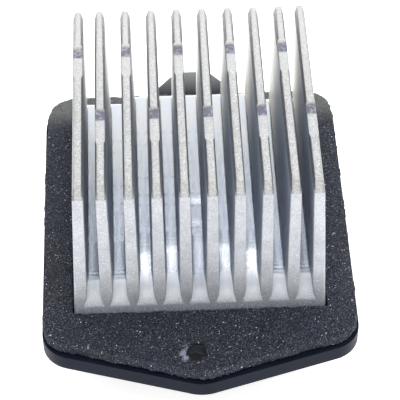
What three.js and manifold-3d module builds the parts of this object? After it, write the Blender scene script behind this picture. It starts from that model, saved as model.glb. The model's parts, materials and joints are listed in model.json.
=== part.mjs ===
// Finned heat sink and driver housing of a heater blower speed regulator.
// Millimetres. +Z points along the fins, +Y towards the hook tongue, +X to the right.
// The origin lies under the middle of the part, on the outer face of the rear cover.
import * as THREE from 'three';
import { mergeVertices } from 'three/addons/utils/BufferGeometryUtils.js';
import Module from 'manifold-3d';

const wasm = await Module();
wasm.setup();

// ---- driving dimensions -------------------------------------------------------------------
const GAP = 0.3; // clearance left between pieces that rest on each other

// stack of parts, from the rear cover up
const HOUSING_DEPTH = 20; // rear cover face to the flange's underside
const FLANGE_EDGE = 4.2; // height of the flange's rim
const FOAM_THICKNESS = 3.9;
const FLANGE_TOP = HOUSING_DEPTH + FLANGE_EDGE;
const SEAL_FACE = FLANGE_TOP + FOAM_THICKNESS;

// heat sink casting; its own heights count from the seal face
const FIN_COUNT = 10;
const FIN_PITCH = 6.5;
const FIN_HEIGHT = 40.3;
const FIN_SHOULDER = 37.5; // where the near chamfer and the sloping shoulders start
const FIN_CHAMFER = 3; // how far the top is cut back at the near end
const FIN_ROOT = 3.3; // thickness at the root
const FIN_BODY = 2.6; // thickness under the shoulder
const FIN_LAND = 1.75; // thickness of the flat top
const FIN_LEAN = 1.15; // how far the two outermost fins lean inwards at the top
const HALF_LENGTH_AT_SHOULDER = 31.36;
const FIN_SETBACK = 0.12; // fin ends stand this far behind the end faces of the base
const END_SLOPE = 0.075; // draft of the end faces, mm outwards for each mm down
const CASTING_HALF_WIDTH = 31.05;
const CASTING_BOTTOM = -6;
const OUTER_FLOOR = 6.5; // floor of the two outer troughs on each side
const CENTRE_FLOOR = 9.3; // floor of the five troughs in the middle
const RAMP_EXIT = 4.3; // where every ramp leaves the near end
const OUTER_RAMP_START = -28.3;
const INNER_RAMP_STARTS = [-18.3, -20.2, -22.1]; // centre trough first, then outwards
const EXIT_LIP = { length: 1.5, rise: 0.4 }; // the last stretch, alike in every trough
const EXIT_ROUND = 1.6;
const FAR_ROUND = 3;
// The centre trough steps down towards the near end.
const TERRACES = [{ from: 2.3, to: 1.6, drop: -0.12 }, { from: -5.2, to: -7.2, drop: 0.85 },
  { from: -11.9, to: -14, drop: 0.6 }];
// Between the ramp exits each fin narrows to a rounded nose.
const NOSE = { reach: 5.5, top: 8, middle: 5, widen: 0.5, bottom: 2, spread: 1.25 };
const PAD_LENGTH = 11; // ejector pad on each fin top
const PAD_WIDTH = 2.3;
const PAD_ROOT = 1; // how far the pad reaches down inside the fin's top
const ODD_PAD_MIDDLE = 13;
const EVEN_PAD_MIDDLE = -9.2;
const PEDESTAL = { halfWidth: 21.5, near: -20.5, far: 12.5, bottom: -11.1 };
const NEAR_HOLLOW = { halfWidth: 28, near: -29, far: -22, roof: 2.5 };
const FAR_HOLLOW = { halfWidth: 21, near: 15, far: 31, roof: 3.5 };
const SINK_THREAD = { radius: 2.1, top: 1 };
const CLAMP_SCREW = {
  y: -5.5, bore: 1.8, boreTop: -3, grip: 6, radius: 1.5, headRadius: 2.8, headHeight: 1.4, recess: 0.8,
};

// flange and foam outlines
const FLANGE = {
  halfWidth: 39, far: 42.3, tip: -54.84, slope: 0.3, tipRadius: 10, nearRadius: 8, farRadius: 8.6,
};
const FOAM = {
  halfWidth: 38.5, far: 41.6, tip: -53.9, slope: 0.31, tipRadius: 10, nearRadius: 7, farRadius: 8,
};
const FLANGE_PLATE = 2.6;
const RIM_THICKNESS = 2;
const LEDGE = 1.8; // floor that the casting rests on
const SEAT = { halfWidth: 34, near: -37, far: 38, radius: 3 }; // solid block round the casting
const RIB = {
  half: 0.8, rise: 0.5, sideY: [-28, -8, 12, 32], sideFrom: 33, sideTo: 38,
  nearX: [-24, -12, 10, 22], nearTo: -36, tipGap: 1.2,
};
const TONGUE = { x: 1.2, baseHalfWidth: 9.6, endHalfWidth: 4.4, straight: 6, end: 54.4, thickness: 3.2 };
const FIXING_HOLE = { x: -1.4, y: -47.4, radius: 2.5, collar: 0.55, collarHeight: 2.9, bossRadius: 5.6 };

// housing box under the flange
const BOX = { halfWidth: 34, near: -26, far: 38, radius: 5, wall: 2 };
const COVER = { plate: 2.6, overhang: 1, lip: 1.5, lipHeight: 1.6 };
const POST = { radius: 3.5, bore: 1.6, boreTop: 12 }; // posts in the corners that the cover screws enter
const COVER_PANEL = { halfWidth: 20, near: -12, far: 24, radius: 3, depth: 0.6 };
const COVER_BORE = { head: 3, headDepth: 1.5, shank: 1.7 };
const BOARD_PEGS = { halfWidth: 28, y: [-8, 16], radius: 1.5 };
const BOARD_RESTS = { y: [-2, 12], half: 1, from: 29.5, to: 32.5 };
const COVER_SCREWS = [[-28, -20], [28, -20], [-28, 32], [28, 32]];
const SINK_SCREWS = [[-26, -8], [26, -8], [-26, 22], [26, 22]];
const SOCKET = { halfWidth: 14, bottom: 7, top: 16.6, mouth: 48, wall: 1.8, outerRadius: 2, innerRadius: 1 };
const LATCH = { halfWidth: 3, near: 5, far: 2.5, rise: 1.4 }; // near and far count back from the mouth

// circuit board and what stands on it
const BOARD = { bottom: 5, thickness: 1.6, halfWidth: 31, near: -23, far: 35, notch: 8 };
const BOARD_TOP = BOARD.bottom + BOARD.thickness;
const TRANSISTOR_X = [-10.5, 10.5];
const TRANSISTOR = {
  width: 15.9, near: -16, far: 5, thickness: 5, bevel: 0.6,
  leadPitch: 5.45, lead: 1.2, leadLevel: 2.4, leadThickness: 0.6,
};
const INSULATOR = { width: 17.5, near: -17, far: 6, thickness: 0.5 };
const LEAD_FOOT = 3.9; // lower end of every soldered lead
const LEAD_ROW = 8; // where the transistor leads turn down
const BLADES = [
  { x: -9.6, width: 6.3 }, { x: -1.8, width: 6.3 },
  { x: 4.4, width: 2.8 }, { x: 8.1, width: 2.8 }, { x: 11.8, width: 2.8 },
];
const BLADE = { thickness: 0.8, height: 9.2, tip: 45.5, bend: 29, point: { length: 1, bevel: 0.25 } };
const SPRING = {
  strip: 0.7, reach: 17, crest: 13, shoulder: 9, flat: 4,
  tipDrop: 1.2, crestRise: 0.6, shoulderDrop: 0.9, flatDrop: 1,
};
const FUSE = { y: -18.5, drop: 2.4, radius: 2, half: 5.5, bevel: 0.8, lead: 0.8, legRoot: 5, legX: 9 };
const SHUNT = { x: -18.5, y: -19, half: 5, thickness: 1, rise: 3.6, flat: 1.5, halfWidth: 2 };
const CHIP = {
  x: 18.5, y: -19, halfLength: 4.9, halfWidth: 1.9, bottom: 0.15, top: 1.7,
  legs: 8, legPitch: 1.27, legHalf: 0.2, legReach: 2.9, legHeight: 0.4,
};
const CAN = { x: -19.5, y: 17.5, radius: 5, half: 9, bevel: 0.5, groove: 0.6, grooveAt: -6 };
const FILM = { x: -1, y: 21, halfLength: 6.5, halfWidth: 3, corner: 1, height: 10.5 };
const CHOKE = { x: 20.5, y: 18, inner: 3.4, outer: 7.4, halfHeight: 3.4, bevel: 0.8 };

// screws: shank radius and length, head, depth of the cross recess
const SINK_SCREW = { radius: 1.75, length: 8, headRadius: 3.4, headHeight: 2, recess: 0.9 };
const COVER_SCREW = { radius: 1.25, length: 9, headRadius: 2.6, headHeight: 1.1, recess: 0.6 };
const SCREW_SHAPE = { crown: 0.75, rim: 0.6, tip: 0.5, crossReach: 0.62, crossHalf: 0.3 };

// ---- materials ----------------------------------------------------------------------------
const finish = (color, roughness, metalness) =>
  new THREE.MeshStandardMaterial({ color, roughness, metalness });
const castAluminium = finish(0xc9cbcd, 0.55, 0.9);
const openCellFoam = finish(0x34373c, 1, 0);
const blackPlastic = finish(0x1e2229, 0.45, 0);
const boardLaminate = finish(0x24503a, 0.5, 0);
const packageResin = finish(0x202022, 0.55, 0);
const tinnedMetal = finish(0xb9bbbd, 0.35, 1);
const steel = finish(0xa4a6a8, 0.35, 1);
const insulatorSheet = finish(0xb8b4a8, 0.7, 0);
const capacitorSleeve = finish(0x23283a, 0.4, 0);
const filmResin = finish(0x9a3b2c, 0.5, 0);
const ferrite = finish(0x47484a, 0.6, 0);

// ---- small geometry kit -------------------------------------------------------------------
function toSolid(geometry) {
  const bare = geometry.clone();
  bare.deleteAttribute('normal');
  bare.deleteAttribute('uv');
  const merged = mergeVertices(bare, 1e-4);
  const mesh = new wasm.Mesh({
    numProp: 3,
    vertProperties: new Float32Array(merged.attributes.position.array),
    triVerts: new Uint32Array(merged.index.array),
  });
  return new wasm.Manifold(mesh);
}

function toGeometry(solid) {
  const mesh = solid.getMesh();
  const geometry = new THREE.BufferGeometry();
  geometry.setAttribute('position', new THREE.BufferAttribute(new Float32Array(mesh.vertProperties), 3));
  geometry.setIndex(new THREE.BufferAttribute(new Uint32Array(mesh.triVerts), 1));
  geometry.computeVertexNormals();
  return geometry;
}

const union = (solids) => solids.reduce((sum, solid) => sum.add(solid));
const without = (solid, cutters) => cutters.reduce((rest, cutter) => rest.subtract(cutter), solid);

function block([x0, x1], [y0, y1], [z0, z1]) {
  const box = new THREE.BoxGeometry(x1 - x0, y1 - y0, z1 - z0);
  box.translate((x0 + x1) / 2, (y0 + y1) / 2, (z0 + z1) / 2);
  return toSolid(box);
}

function cylinder(x, y, radius, z0, z1, sides = 24) {
  const round = new THREE.CylinderGeometry(radius, radius, z1 - z0, sides);
  round.rotateX(Math.PI / 2);
  round.translate(x, y, (z0 + z1) / 2);
  return toSolid(round);
}

// A flat outline in X and Y, raised from z0 to z1.
function prism(outline, z0, z1, curveSegments = 5) {
  const raised = new THREE.ExtrudeGeometry(outline, { depth: z1 - z0, bevelEnabled: false, curveSegments });
  raised.translate(0, 0, z0);
  return toSolid(raised);
}

// An outline drawn in Y and Z, swept along X.
function sweepX(outline, x0, x1, curveSegments = 4) {
  const swept = new THREE.ExtrudeGeometry(outline, { depth: x1 - x0, bevelEnabled: false, curveSegments });
  swept.applyMatrix4(new THREE.Matrix4().set(0, 0, 1, x0, 1, 0, 0, 0, 0, 1, 0, 0, 0, 0, 0, 1));
  return toSolid(swept);
}

// An outline drawn in X and Z, swept along Y from y1 back to y0.
function sweepY(outline, y0, y1, curveSegments = 4) {
  const swept = new THREE.ExtrudeGeometry(outline, { depth: y1 - y0, bevelEnabled: false, curveSegments });
  swept.rotateX(Math.PI / 2);
  swept.translate(0, y1, 0);
  return toSolid(swept);
}

const polygon = (points) => new THREE.Shape(points.map(([x, y]) => new THREE.Vector2(x, y)));

// A closed outline, listed counter-clockwise as [x, y, corner radius].
function roundedOutline(corners) {
  const outline = new THREE.Shape();
  const count = corners.length;
  corners.forEach(([x, y, radius], index) => {
    const corner = new THREE.Vector2(x, y);
    const back = new THREE.Vector2(...corners[(index + count - 1) % count]).sub(corner).normalize();
    const ahead = new THREE.Vector2(...corners[(index + 1) % count]).sub(corner).normalize();
    const halfAngle = Math.acos(THREE.MathUtils.clamp(back.dot(ahead), -1, 1)) / 2;
    const start = corner.clone().addScaledVector(back, radius / Math.tan(halfAngle));
    if (index === 0) outline.moveTo(start.x, start.y);
    else outline.lineTo(start.x, start.y);
    if (radius === 0) return;
    const end = corner.clone().addScaledVector(ahead, radius / Math.tan(halfAngle));
    const inward = back.clone().add(ahead).normalize();
    const centre = corner.clone().addScaledVector(inward, radius / Math.sin(halfAngle));
    const from = start.clone().sub(centre).angle();
    const to = end.clone().sub(centre).angle();
    outline.absarc(centre.x, centre.y, radius, from, to, back.cross(ahead) > 0);
  });
  return outline;
}

function roundedRectangle(x0, x1, y0, y1, radius) {
  return roundedOutline([[x0, y0, radius], [x1, y0, radius], [x1, y1, radius], [x0, y1, radius]]);
}

// The five-sided outline shared by flange and foam, pulled in by inset all round.
function pointedOutline(size, inset = 0) {
  const halfWidth = size.halfWidth - inset;
  const far = size.far - inset;
  const tip = size.tip + inset * Math.hypot(1, size.slope);
  const shoulder = tip + size.slope * halfWidth;
  return roundedOutline([
    [0, tip, size.tipRadius],
    [halfWidth, shoulder, size.nearRadius - inset],
    [halfWidth, far, size.farRadius - inset],
    [-halfWidth, far, size.farRadius - inset],
    [-halfWidth, shoulder, size.nearRadius - inset],
  ]);
}

const parts = [];
function addPart(name, solid, material, [x, y, z] = [0, 0, 0]) {
  const mesh = new THREE.Mesh(toGeometry(solid), material);
  mesh.name = name;
  mesh.position.set(x, y, z);
  parts.push(mesh);
  return mesh;
}

// ---- heat sink ----------------------------------------------------------------------------
// Half length of the casting at height z: its end faces slope outwards towards the root.
const halfLengthAt = (z) => HALF_LENGTH_AT_SHOULDER + (FIN_SHOULDER - z) * END_SLOPE;

function finSection(lean) {
  const at = (halfThickness, z) => [halfThickness + lean * (z / FIN_HEIGHT), z];
  const right = [at(FIN_ROOT / 2, 0), at(FIN_BODY / 2, FIN_SHOULDER), at(FIN_LAND / 2, FIN_HEIGHT)];
  const left = [at(-FIN_LAND / 2, FIN_HEIGHT), at(-FIN_BODY / 2, FIN_SHOULDER), at(-FIN_ROOT / 2, 0)];
  return polygon([...right, ...left]);
}

function finOutline() {
  const outline = new THREE.Shape();
  const shoulder = halfLengthAt(FIN_SHOULDER) - FIN_SETBACK;
  const root = halfLengthAt(0) - FIN_SETBACK;
  outline.moveTo(-root, 0);
  outline.lineTo(root, 0);
  outline.lineTo(shoulder, FIN_SHOULDER);
  outline.quadraticCurveTo(shoulder - 0.2, FIN_HEIGHT, shoulder - 1.4, FIN_HEIGHT);
  outline.lineTo(-shoulder + FIN_CHAMFER, FIN_HEIGHT);
  outline.lineTo(-shoulder, FIN_SHOULDER);
  return outline;
}

function makeFin(x, lean, padMiddle) {
  const reach = halfLengthAt(0) + 1;
  const blade = sweepY(finSection(lean), -reach, reach).intersect(
    sweepX(finOutline(), -FIN_PITCH, FIN_PITCH));
  const pad = block(
    [lean - PAD_WIDTH / 2, lean + PAD_WIDTH / 2],
    [padMiddle - PAD_LENGTH / 2, padMiddle + PAD_LENGTH / 2],
    [FIN_HEIGHT - PAD_ROOT, FIN_HEIGHT]);
  return blade.add(pad).translate(x, 0, 0);
}

// The floor between two fins, drawn in Y and Z: rounded far end, level, then a ramp down to the near end.
function floorOutline(floor, rampStart, terraces) {
  const foot = halfLengthAt(0);
  const corners = [[-foot, CASTING_BOTTOM, 0], [foot, CASTING_BOTTOM, 0], [foot, 0, 0]];
  corners.push([halfLengthAt(floor), floor, FAR_ROUND]);
  let level = floor;
  for (const { from, to, drop } of terraces) {
    corners.push([from, level, 0]);
    level -= drop;
    corners.push([to, level, 0]);
  }
  const exit = -halfLengthAt(RAMP_EXIT);
  corners.push([rampStart, level, 0], [exit + EXIT_LIP.length, RAMP_EXIT + EXIT_LIP.rise, 0]);
  corners.push([exit, RAMP_EXIT, EXIT_ROUND], [-foot, 0, 0]);
  return roundedOutline(corners);
}

// What is cut from the two fins beside a trough, at its near end.
function noseCut(x) {
  const gap = (FIN_PITCH - FIN_ROOT) / 2;
  const end = -halfLengthAt(0) - 1;
  const inside = -halfLengthAt(0) + NOSE.reach;
  const points = [];
  for (const side of [-1, 1]) {
    const wall = x + side * (gap - GAP);
    const flare = x + side * (gap + NOSE.spread);
    points.push([wall, inside, 0], [wall, inside, NOSE.top], [x + side * gap, end, NOSE.top]);
    points.push([x + side * (gap + NOSE.widen), end, NOSE.middle]);
    points.push([flare, end, NOSE.bottom], [flare, end, -1]);
  }
  return wasm.Manifold.hull(points);
}

function makeHeatSink() {
  const troughs = Array.from({ length: FIN_COUNT - 1 }, (_, index) => index - (FIN_COUNT - 2) / 2);
  const outerFloor = sweepX(
    floorOutline(OUTER_FLOOR, OUTER_RAMP_START, []), -CASTING_HALF_WIDTH, CASTING_HALF_WIDTH);
  const inner = troughs.filter((trough) => Math.abs(trough) < INNER_RAMP_STARTS.length);
  const innerFloors = inner.map((trough) => {
    const outline = floorOutline(
      CENTRE_FLOOR, INNER_RAMP_STARTS[Math.abs(trough)], trough === 0 ? TERRACES : []);
    return sweepX(outline, (trough - 0.5) * FIN_PITCH, (trough + 0.5) * FIN_PITCH);
  });
  const pedestal = block(
    [-PEDESTAL.halfWidth, PEDESTAL.halfWidth],
    [PEDESTAL.near, PEDESTAL.far],
    [PEDESTAL.bottom, CASTING_BOTTOM + 1]);
  const fins = Array.from({ length: FIN_COUNT }, (_, index) => {
    const x = (index - (FIN_COUNT - 1) / 2) * FIN_PITCH;
    const outermost = index === 0 || index === FIN_COUNT - 1;
    const lean = outermost ? -Math.sign(x) * FIN_LEAN : 0;
    return makeFin(x, lean, index % 2 === 0 ? ODD_PAD_MIDDLE : EVEN_PAD_MIDDLE);
  });
  const blades = without(union(fins), troughs.map((trough) => noseCut(trough * FIN_PITCH)));
  const hollows = [NEAR_HOLLOW, FAR_HOLLOW].map(({ halfWidth, near, far, roof }) =>
    block([-halfWidth, halfWidth], [near, far], [CASTING_BOTTOM - 1, roof]));
  const threads = SINK_SCREWS.map(([x, y]) =>
    cylinder(x, y, SINK_THREAD.radius, CASTING_BOTTOM - 1, SINK_THREAD.top, 16));
  const clampThread = cylinder(
    0, CLAMP_SCREW.y, CLAMP_SCREW.bore, PEDESTAL.bottom - 1, CLAMP_SCREW.boreTop, 16);
  const solid = union([outerFloor, ...innerFloors, pedestal, blades]);
  const casting = without(solid, [...hollows, ...threads, clampThread]);
  addPart('heat_sink', casting, castAluminium, [0, 0, SEAL_FACE]);
}

// ---- foam gasket --------------------------------------------------------------------------
function makeFoamGasket() {
  const inner = roundedRectangle(
    -CASTING_HALF_WIDTH - GAP, CASTING_HALF_WIDTH + GAP,
    -halfLengthAt(0) - GAP, halfLengthAt(0) + GAP, 1);
  const thickness = FOAM_THICKNESS - GAP;
  const sheet = prism(pointedOutline(FOAM), 0, thickness);
  const clear = FIXING_HOLE.radius + FIXING_HOLE.collar + GAP;
  const hole = cylinder(FIXING_HOLE.x, FIXING_HOLE.y, clear, -1, thickness + 1);
  const gasket = without(sheet, [prism(inner, -1, thickness + 1), hole]);
  addPart('foam_gasket', gasket, openCellFoam, [0, 0, FLANGE_TOP + GAP]);
}

// ---- flange and housing, one moulding -----------------------------------------------------
function tongueOutline() {
  const root = FLANGE.far - 2;
  const bend = FLANGE.far + TONGUE.straight;
  const left = TONGUE.x - TONGUE.baseHalfWidth;
  const right = TONGUE.x + TONGUE.baseHalfWidth;
  return roundedOutline([
    [left, root, 0],
    [right, root, 0],
    [right, bend, 2.5],
    [TONGUE.x + TONGUE.endHalfWidth, TONGUE.end, 3.5],
    [TONGUE.x - TONGUE.endHalfWidth, TONGUE.end, 3.5],
    [left, bend, 2.5],
  ]);
}

function makeFlangeHousing() {
  const underside = HOUSING_DEPTH;
  const roof = underside + LEDGE;
  const inside = FLANGE_TOP - FLANGE_PLATE;
  const boxBottom = COVER.plate + GAP;

  const plate = prism(pointedOutline(FLANGE), underside, FLANGE_TOP).subtract(
    prism(pointedOutline(FLANGE, RIM_THICKNESS), underside - 1, inside));
  const seatOutline = roundedRectangle(-SEAT.halfWidth, SEAT.halfWidth, SEAT.near, SEAT.far, SEAT.radius);
  const seat = prism(seatOutline, underside, FLANGE_TOP);
  const boss = cylinder(FIXING_HOLE.x, FIXING_HOLE.y, FIXING_HOLE.bossRadius, underside, FLANGE_TOP);
  const collarTop = FLANGE_TOP + FIXING_HOLE.collarHeight;
  const collar = cylinder(
    FIXING_HOLE.x, FIXING_HOLE.y, FIXING_HOLE.radius + FIXING_HOLE.collar, FLANGE_TOP - 1, collarTop);
  const ribHeight = [underside, inside + RIB.rise];
  const ribs = RIB.sideY.flatMap((y) => [
    block([RIB.sideFrom, RIB.sideTo], [y - RIB.half, y + RIB.half], ribHeight),
    block([-RIB.sideTo, -RIB.sideFrom], [y - RIB.half, y + RIB.half], ribHeight),
  ]);
  for (const x of RIB.nearX) {
    const edge = FLANGE.tip + FLANGE.slope * Math.abs(x) + RIB.tipGap;
    ribs.push(block([x - RIB.half, x + RIB.half], [edge, RIB.nearTo], ribHeight));
  }
  const tongue = prism(tongueOutline(), FLANGE_TOP - TONGUE.thickness, FLANGE_TOP);

  const outer = roundedRectangle(-BOX.halfWidth, BOX.halfWidth, BOX.near, BOX.far, BOX.radius);
  const inner = roundedRectangle(
    -BOX.halfWidth + BOX.wall, BOX.halfWidth - BOX.wall,
    BOX.near + BOX.wall, BOX.far - BOX.wall, BOX.radius - BOX.wall);
  const walls = prism(outer, boxBottom, underside + 0.5).subtract(prism(inner, boxBottom - 1, underside));
  const posts = COVER_SCREWS.map(([x, y]) => cylinder(x, y, POST.radius, boxBottom, underside + 0.5));
  const boardRests = BOARD_RESTS.y.flatMap((y) => [-1, 1].map((side) => {
    const reach = [side * BOARD_RESTS.from, side * BOARD_RESTS.to].sort((first, second) => first - second);
    return block(reach, [y - BOARD_RESTS.half, y + BOARD_RESTS.half], [BOARD_TOP + GAP, underside + 0.5]);
  }));

  const shroudX = SOCKET.halfWidth + SOCKET.wall;
  const shroudTop = SOCKET.top + SOCKET.wall;
  const shroud = sweepY(
    roundedRectangle(-shroudX, shroudX, SOCKET.bottom - SOCKET.wall, shroudTop, SOCKET.outerRadius),
    BOX.far - 1, SOCKET.mouth);
  const latch = block(
    [-LATCH.halfWidth, LATCH.halfWidth],
    [SOCKET.mouth - LATCH.near, SOCKET.mouth - LATCH.far],
    [SOCKET.top, shroudTop + LATCH.rise]);
  const socket = sweepY(
    roundedRectangle(-SOCKET.halfWidth, SOCKET.halfWidth, SOCKET.bottom, SOCKET.top, SOCKET.innerRadius),
    BOX.far, SOCKET.mouth + 1);
  const slots = BLADES.map(({ x, width }) => block(
    [x - width / 2 - GAP, x + width / 2 + GAP],
    [BOX.far - BOX.wall - 1, BOX.far + 1],
    [BLADE.height - GAP, BLADE.height + BLADE.thickness + GAP]));

  const castingPocket = block(
    [-CASTING_HALF_WIDTH - GAP, CASTING_HALF_WIDTH + GAP],
    [-halfLengthAt(0) - GAP, halfLengthAt(0) + GAP],
    [roof, FLANGE_TOP + 1]);
  const window = block(
    [-PEDESTAL.halfWidth - GAP, PEDESTAL.halfWidth + GAP],
    [PEDESTAL.near - GAP, PEDESTAL.far + GAP],
    [underside - 1, roof + 1]);
  const sinkHoles = SINK_SCREWS.map(([x, y]) =>
    cylinder(x, y, SINK_THREAD.radius, underside - 1, roof + 1, 16));
  const postHoles = COVER_SCREWS.map(([x, y]) =>
    cylinder(x, y, POST.bore, boxBottom - 1, POST.boreTop, 16));
  const fixingHole = cylinder(FIXING_HOLE.x, FIXING_HOLE.y, FIXING_HOLE.radius, underside - 1, collarTop + 1);

  const flange = union([plate, seat, boss, collar, ...ribs, tongue]);
  const housing = union([walls, ...posts, ...boardRests, shroud, latch]);
  const cuts = [castingPocket, window, socket, fixingHole, ...slots, ...sinkHoles, ...postHoles];
  addPart('flange_housing', without(flange.add(housing), cuts), blackPlastic);
}

// ---- rear cover ---------------------------------------------------------------------------
function makeRearCover() {
  const reach = COVER.overhang;
  const plate = prism(roundedRectangle(
    -BOX.halfWidth - reach, BOX.halfWidth + reach, BOX.near - reach, BOX.far + reach,
    BOX.radius + reach), 0, COVER.plate);
  const panel = prism(roundedRectangle(
    -COVER_PANEL.halfWidth, COVER_PANEL.halfWidth, COVER_PANEL.near, COVER_PANEL.far, COVER_PANEL.radius),
  -1, COVER_PANEL.depth);
  const lipOuter = BOX.wall + GAP;
  const lipInner = lipOuter + COVER.lip;
  const ring = (inset) => roundedRectangle(
    -BOX.halfWidth + inset, BOX.halfWidth - inset, BOX.near + inset, BOX.far - inset,
    Math.max(BOX.radius - inset, 0.8));
  const lip = prism(ring(lipOuter), COVER.plate - 0.5, COVER.plate + COVER.lipHeight).subtract(
    prism(ring(lipInner), COVER.plate, COVER.plate + COVER.lipHeight + 1));
  const postClearance = COVER_SCREWS.map(([x, y]) =>
    cylinder(x, y, POST.radius + GAP, COVER.plate, COVER.plate + COVER.lipHeight + 1));
  const boardPegs = BOARD_PEGS.y.flatMap((y) => [-BOARD_PEGS.halfWidth, BOARD_PEGS.halfWidth].map((x) =>
    cylinder(x, y, BOARD_PEGS.radius, COVER.plate - 0.5, BOARD.bottom - GAP, 12)));
  const screwHoles = COVER_SCREWS.map(([x, y]) => union([
    cylinder(x, y, COVER_BORE.head, -1, COVER_BORE.headDepth, 20),
    cylinder(x, y, COVER_BORE.shank, -1, COVER.plate + 1, 16)]));
  const cover = union([without(plate, [panel]), without(lip, postClearance), ...boardPegs]);
  addPart('rear_cover', without(cover, screwHoles), blackPlastic);
}

// ---- circuit board ------------------------------------------------------------------------
function makeCircuitBoard() {
  const { halfWidth, near, far, notch } = BOARD;
  const outline = polygon([
    [-halfWidth + notch, near], [halfWidth - notch, near], [halfWidth - notch, near + notch],
    [halfWidth, near + notch], [halfWidth, far - notch], [halfWidth - notch, far - notch],
    [halfWidth - notch, far], [-halfWidth + notch, far], [-halfWidth + notch, far - notch],
    [-halfWidth, far - notch], [-halfWidth, near + notch], [-halfWidth + notch, near + notch],
  ]);
  const cutter = (x, halfWidthOfHole, y0, y1) =>
    block([x - halfWidthOfHole, x + halfWidthOfHole], [y0 - GAP, y1 + GAP], [-1, BOARD.thickness + 1]);
  const leadHoles = TRANSISTOR_X.flatMap((centre) => [-1, 0, 1].map((lead) => cutter(
    centre + lead * TRANSISTOR.leadPitch, TRANSISTOR.lead / 2 + GAP, LEAD_ROW, LEAD_ROW + 0.6)));
  const bladeHoles = BLADES.map(({ x, width }) =>
    cutter(x, width / 2 + GAP, BLADE.bend, BLADE.bend + BLADE.thickness));
  const board = without(prism(outline, 0, BOARD.thickness), [...leadHoles, ...bladeHoles]);
  addPart('circuit_board', board, boardLaminate, [0, 0, BOARD.bottom]);
}

// ---- power transistors, pads and their clamp ----------------------------------------------
const PEDESTAL_FACE = SEAL_FACE + PEDESTAL.bottom;
const TRANSISTOR_TOP = PEDESTAL_FACE - GAP - INSULATOR.thickness - GAP;
const TRANSISTOR_BOTTOM = TRANSISTOR_TOP - TRANSISTOR.thickness;

// A flat lead that leaves level and turns down through the board; drawn in Y and Z.
function bentLead(x, width, start, turn, level, thickness) {
  return sweepX(polygon([
    [start, level], [turn, level], [turn, LEAD_FOOT], [turn + thickness, LEAD_FOOT],
    [turn + thickness, level + thickness], [start, level + thickness],
  ]), x - width / 2, x + width / 2);
}

function makeTransistors() {
  const { near, far, bevel } = TRANSISTOR;
  TRANSISTOR_X.forEach((x, index) => {
    const half = TRANSISTOR.width / 2;
    const body = sweepX(polygon([
      [near, TRANSISTOR_BOTTOM + bevel], [near + bevel, TRANSISTOR_BOTTOM],
      [far - bevel, TRANSISTOR_BOTTOM], [far, TRANSISTOR_BOTTOM + bevel],
      [far, TRANSISTOR_TOP], [near, TRANSISTOR_TOP],
    ]), -half, half);
    const leads = [-1, 0, 1].map((lead) => bentLead(
      lead * TRANSISTOR.leadPitch, TRANSISTOR.lead, far - bevel, LEAD_ROW,
      TRANSISTOR_BOTTOM + TRANSISTOR.leadLevel, TRANSISTOR.leadThickness));
    addPart(`power_transistor_${index + 1}`, union([body, ...leads]), packageResin, [x, 0, 0]);

    const halfPad = INSULATOR.width / 2;
    const pad = block([-halfPad, halfPad], [INSULATOR.near, INSULATOR.far], [0, INSULATOR.thickness]);
    addPart(`insulating_pad_${index + 1}`, pad, insulatorSheet,
      [x, 0, PEDESTAL_FACE - GAP - INSULATOR.thickness]);
  });
}

function makeClamp() {
  const { strip, reach, crest, shoulder, flat, tipDrop, crestRise, shoulderDrop, flatDrop } = SPRING;
  const face = TRANSISTOR_BOTTOM - GAP;
  const bowed = new THREE.Shape();
  bowed.moveTo(-reach, face - tipDrop);
  bowed.quadraticCurveTo(-crest, face + crestRise, -shoulder, face - shoulderDrop);
  bowed.lineTo(-flat, face - flatDrop);
  bowed.lineTo(flat, face - flatDrop);
  bowed.lineTo(shoulder, face - shoulderDrop);
  bowed.quadraticCurveTo(crest, face + crestRise, reach, face - tipDrop);
  const under = face - strip;
  bowed.lineTo(reach, under - tipDrop);
  bowed.quadraticCurveTo(crest, under + crestRise, shoulder, under - shoulderDrop);
  bowed.lineTo(flat, under - flatDrop);
  bowed.lineTo(-flat, under - flatDrop);
  bowed.lineTo(-shoulder, under - shoulderDrop);
  bowed.quadraticCurveTo(-crest, under + crestRise, -reach, under - tipDrop);
  const spring = sweepY(bowed, 2 * CLAMP_SCREW.y, 0).subtract(
    cylinder(0, CLAMP_SCREW.y, CLAMP_SCREW.bore, 0, face, 16));
  addPart('clamp_spring', spring, steel);
  const headTop = under - flatDrop - GAP;
  const length = PEDESTAL_FACE + CLAMP_SCREW.grip - headTop;
  addPart('clamp_screw', screw({ ...CLAMP_SCREW, length }), steel, [0, CLAMP_SCREW.y, headTop]);
}

// ---- screws -------------------------------------------------------------------------------
// Head below z = 0, shank above it, a cross recess in the head.
function screw({ radius, length, headRadius, headHeight, recess }) {
  const head = toSolid(new THREE.LatheGeometry([
    new THREE.Vector2(0, -headHeight), new THREE.Vector2(headRadius * SCREW_SHAPE.crown, -headHeight),
    new THREE.Vector2(headRadius, -headHeight * SCREW_SHAPE.rim), new THREE.Vector2(headRadius, 0),
    new THREE.Vector2(radius, 0), new THREE.Vector2(radius, length - radius),
    new THREE.Vector2(radius * SCREW_SHAPE.tip, length), new THREE.Vector2(0, length),
  ], 20).rotateX(Math.PI / 2));
  const reach = headRadius * SCREW_SHAPE.crossReach;
  const half = SCREW_SHAPE.crossHalf;
  const depth = [-headHeight - 1, -headHeight + recess];
  const along = block([-reach, reach], [-half, half], depth);
  const across = block([-half, half], [-reach, reach], depth);
  return without(head, [along, across]);
}

function makeScrews() {
  SINK_SCREWS.forEach(([x, y], index) => {
    addPart(`heat_sink_screw_${index + 1}`, screw(SINK_SCREW), steel, [x, y, HOUSING_DEPTH - GAP]);
  });
  COVER_SCREWS.forEach(([x, y], index) => {
    addPart(`cover_screw_${index + 1}`, screw(COVER_SCREW), steel, [x, y, COVER_BORE.headDepth - GAP]);
  });
}

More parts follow.
